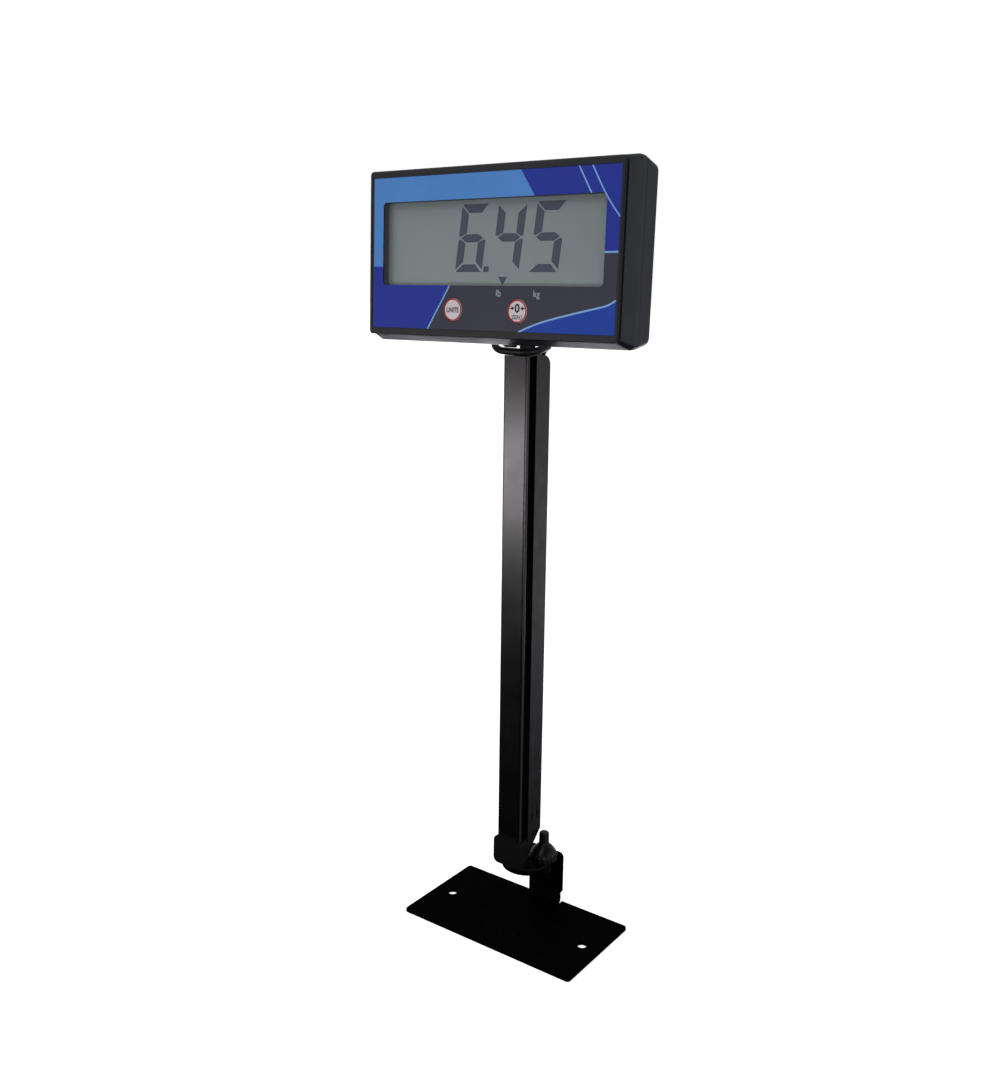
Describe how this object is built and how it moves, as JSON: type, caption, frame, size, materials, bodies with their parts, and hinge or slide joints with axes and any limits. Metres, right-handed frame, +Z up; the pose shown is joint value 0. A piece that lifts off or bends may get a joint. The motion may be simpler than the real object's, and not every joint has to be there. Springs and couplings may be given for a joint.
{
  "type": "remote weight display on a swivelling column",
  "caption": "Remote display head for a bench or shipping scale, on a slim swivelling column with a clamp knob, a tilt hinge and a bolt-down base bracket.",
  "frame": {"origin": "middle of the line between the two base bolt holes, on the underside of the base plate", "axes": "+X is the viewer's right when facing the display, +Y points away from the viewer, +Z is up along the column"},
  "size_m": [0.1948, 0.0829, 0.5197],
  "materials": {
    "bracket_black": "satin black powder coat, lightly scuffed at the edges",
    "strip_black": "satin black paint with a faint brown sheen",
    "channel_black": "matt black powder coat",
    "steel_zinc": "bright zinc plate",
    "steel_black": "blackened steel screw",
    "knob_black": "smooth black plastic with moulding lines",
    "casing_black": "fine spark-textured black ABS",
    "overlay_print": "printed polyester film in blues and charcoal",
    "key_white": "white key with a red ring",
    "lens_clear": "clear acrylic window",
    "lcd_grey": "grey-green reflective liquid crystal panel",
    "white_plastic": "natural white nylon or acetal",
    "contact_pink": "layered silicone contact strip",
    "board_green": "green solder mask on glass-fibre board",
    "chip_black": "moulded chip bodies",
    "lead_black": "soft black PVC jacket",
    "gasket_grey": "foam rubber",
    "brass_insert": "knurled brass",
    "cap_grey": "dark grey plastic"
  },
  "bodies": {
    "base": {"base_bracket": "bracket_black", "friction_washer": "white_plastic"},
    "column": {"swivel_foot": "bracket_black", "pivot_rivet": "steel_black", "foot_screws": "steel_black", "clamp_stud": "steel_zinc", "column_front": "strip_black", "column_core": "channel_black", "column_rear": "channel_black", "column_rivets": "steel_black", "slot_plug": "lead_black", "column_cap": "cap_grey", "neck_bracket": "bracket_black", "neck_screws": "steel_black", "cable_clips": "knob_black", "lead_cable": "lead_black", "lead_socket": "knob_black"},
    "clamp_knob": {"clamp_knob": "knob_black"},
    "display": {"display_bracket": "bracket_black", "bracket_screws": "steel_black", "bracket_inserts": "brass_insert", "tilt_bolt": "steel_zinc", "tilt_washers": "white_plastic", "front_bezel": "casing_black", "overlay": "overlay_print", "window_lens": "lens_clear", "lcd_panel": "lcd_grey", "lcd_holder": "white_plastic", "contact_strips": "contact_pink", "main_board": "board_green", "board_chips": "chip_black", "key_switches": "chip_black", "cable_header": "white_plastic", "board_lead": "lead_black", "buzzer": "chip_black", "board_screws": "steel_zinc", "case_body": "casing_black", "case_gasket": "gasket_grey", "rear_cover": "casing_black", "case_screws": "steel_black", "cable_gland": "knob_black"},
    "tilt_knob": {"tilt_knob": "knob_black"},
    "units_key": {"units_key": "key_white"},
    "zero_key": {"zero_key": "key_white"}
  },
  "joints": [
    {"name": "column_swivel", "type": "hinge", "parent": "base", "child": "column", "pos_m": [0, 0.014, 0.04], "axis": [0, 0, 1], "range_deg": [-45, 45]},
    {"name": "display_tilt", "type": "hinge", "parent": "column", "child": "display", "pos_m": [0, 0.00405, 0.44591], "axis": [-1, 0, 0], "range_deg": [0, 30], "deforming": ["lead_cable"]},
    {"name": "clamp_knob_turn", "type": "hinge", "parent": "column", "child": "clamp_knob", "pos_m": [0.01291, 0.01674, 0.05], "axis": [0, 0, 1], "range_deg": [0, 180]},
    {"name": "tilt_knob_turn", "type": "hinge", "parent": "display", "child": "tilt_knob", "pos_m": [0.02, 0.00405, 0.44591], "axis": [1, 0, 0], "range_deg": [0, 180]},
    {"name": "units_key_press", "type": "slide", "parent": "display", "child": "units_key", "axis": [0, 0.9995, -0.0314], "range_m": [0, 0.0006], "stiffness_N_per_m": 2500, "springref_m": -0.0002},
    {"name": "zero_key_press", "type": "slide", "parent": "display", "child": "zero_key", "axis": [0, 0.9995, -0.0314], "range_m": [0, 0.0006], "stiffness_N_per_m": 2500, "springref_m": -0.0002}
  ]
}
